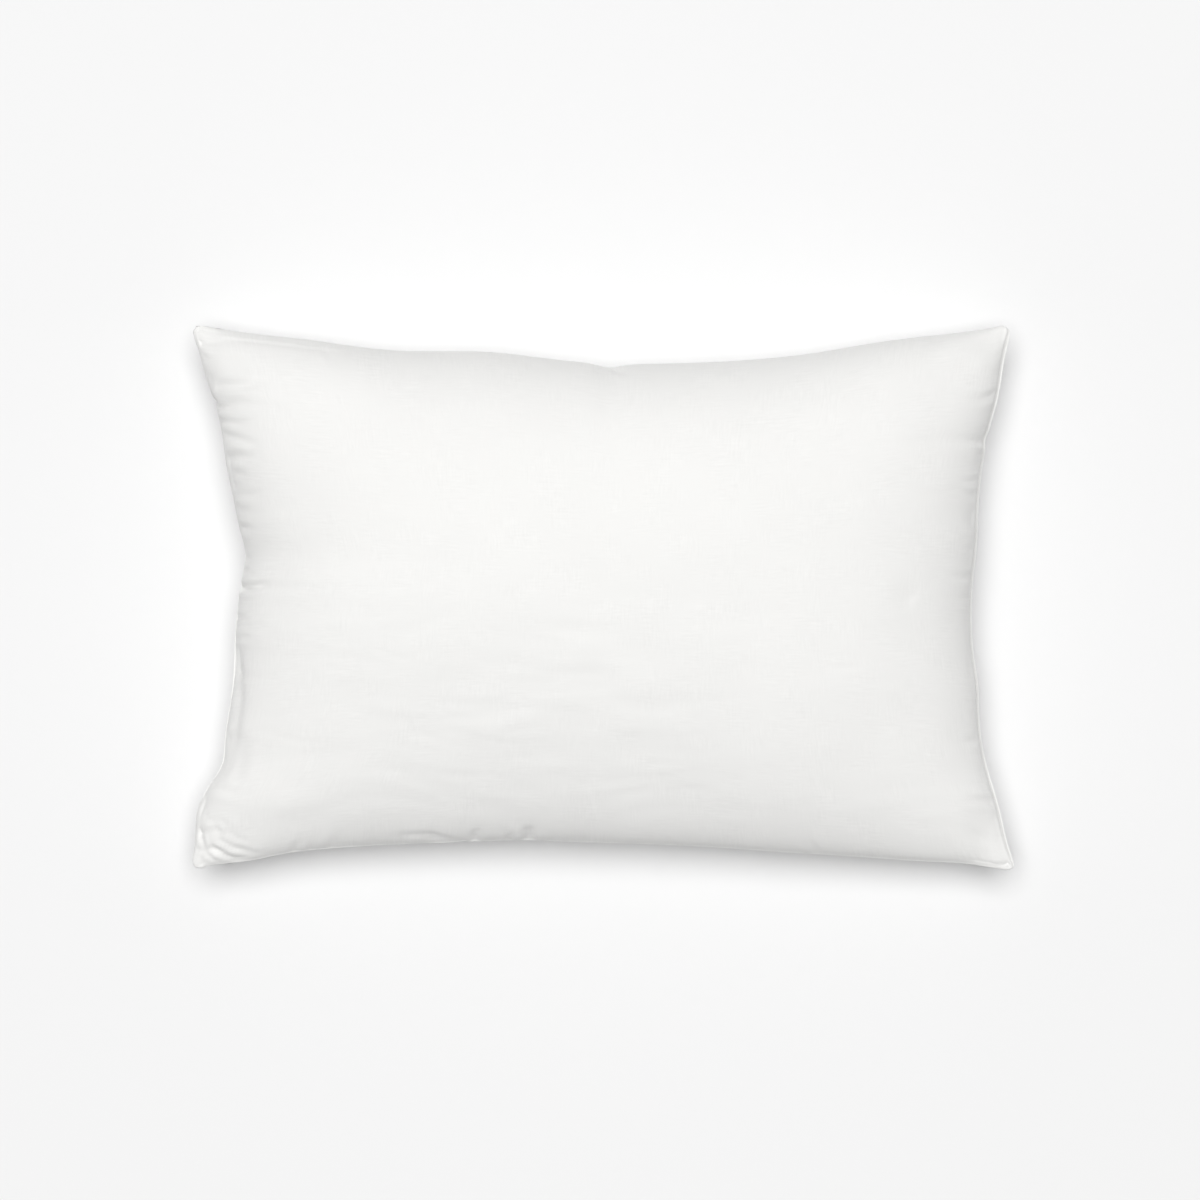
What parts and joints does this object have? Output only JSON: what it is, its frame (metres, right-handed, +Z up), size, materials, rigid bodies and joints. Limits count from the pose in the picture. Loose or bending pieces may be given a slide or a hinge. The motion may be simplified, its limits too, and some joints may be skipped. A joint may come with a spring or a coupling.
{
  "type": "bed pillow",
  "caption": "Plain knife-edge bed pillow: an off-white cotton casing filled with polyester fibre, with a stitched closing seam on one short side.",
  "frame": {"origin": "on the floor plane, under the centre of the pillow's bounding box", "axes": "+X along the long side, towards the short side that is stitched shut after filling; +Y across the pillow, towards the long side that is at the top when it is looked down on; +Z up out of the front panel, with the back panel on the floor"},
  "size_m": [0.7334, 0.4856, 0.17],
  "materials": {
    "casing_cotton": "plain-weave cotton percale, off-white, washed and softly creased, matt with a faint sheen at grazing angles",
    "filling_fibre": "white hollow polyester fibre, lofty and matt",
    "seam_thread": "spun polyester sewing thread, off-white, slightly lustrous",
    "closing_thread": "spun polyester topstitching thread, off-white, slightly lustrous"
  },
  "bodies": {
    "root": {"front_panel": "casing_cotton", "back_panel": "casing_cotton", "fibre_fill": "filling_fibre", "seam_needle_thread": "seam_thread", "seam_looper_thread": "seam_thread", "overlock_thread": "seam_thread", "closing_needle_thread": "closing_thread", "closing_bobbin_thread": "closing_thread"}
  },
  "joints": []
}
